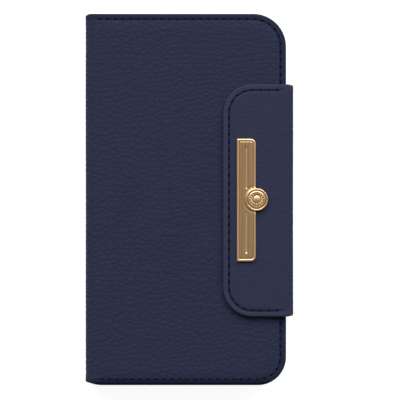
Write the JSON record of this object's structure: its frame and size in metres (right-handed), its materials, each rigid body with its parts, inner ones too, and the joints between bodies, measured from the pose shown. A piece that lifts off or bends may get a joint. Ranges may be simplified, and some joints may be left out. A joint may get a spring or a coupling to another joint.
{
  "type": "phone wallet case",
  "caption": "Folio wallet case for a phone: leather covers on a folding spine, moulded phone tray, card pockets and a magnetic wrap strap with a metal bar ornament.",
  "frame": {"origin": "middle of the closed case's underside, strap included, on the outer face of the back panel", "axes": "+Z out of the front cover, +Y towards the top of the phone, +X towards the strap; the spine is at -X"},
  "size_m": [0.088, 0.158, 0.0226],
  "materials": {
    "leather": "navy pebbled PU leather, satin",
    "lining": "navy microfibre lining, matt",
    "board": "grey pressed-fibre board",
    "foam": "thin padding foam",
    "tpu": "matt navy TPU",
    "thread": "navy polyester thread",
    "gold": "pale gold plate, brushed field and polished rim",
    "steel": "nickel-plated, satin"
  },
  "bodies": {
    "back": {"back_leather": "leather", "back_board": "board", "back_lining": "lining", "back_stitching": "thread", "strap_tail_leather": "leather", "strap_tail_lining": "lining", "phone_tray": "tpu"},
    "spine": {"spine_leather": "leather", "spine_board": "board", "spine_lining": "lining"},
    "front": {"front_leather": "leather", "front_foam": "foam", "front_board": "board", "front_lining": "lining", "front_stitching": "thread", "cash_pocket": "lining", "card_pocket_1": "lining", "card_pocket_2": "lining", "card_pocket_3": "lining", "cover_magnet_upper": "steel", "cover_magnet_lower": "steel"},
    "strap_side": {"strap_side_leather": "leather", "strap_side_lining": "lining"},
    "strap_tongue": {"tongue_leather": "leather", "tongue_board": "board", "tongue_lining": "lining", "tongue_stitching": "thread", "strap_magnet_upper": "steel", "strap_magnet_lower": "steel", "ornament_plate": "gold", "ornament_medallion": "gold", "rivet_washer_upper": "steel", "rivet_washer_lower": "steel", "rivet_washer_middle": "steel"}
  },
  "joints": [
    {"name": "spine_fold", "type": "hinge", "parent": "back", "child": "spine", "pos_m": [-0.0431, 0, 0.0009], "axis": [0, -1, 0], "range_deg": [0, 90]},
    {"name": "cover_fold", "type": "hinge", "parent": "spine", "child": "front", "pos_m": [-0.0431, 0, 0.0174], "axis": [0, -1, 0], "range_deg": [0, 90]},
    {"name": "strap_side_fold", "type": "hinge", "parent": "back", "child": "strap_side", "pos_m": [0.0431, 0, 0.0009], "axis": [0, 1, 0], "range_deg": [0, 85]},
    {"name": "strap_tongue_fold", "type": "hinge", "parent": "strap_side", "child": "strap_tongue", "pos_m": [0.0431, 0, 0.02], "axis": [0, 1, 0], "range_deg": [0, 90]}
  ]
}
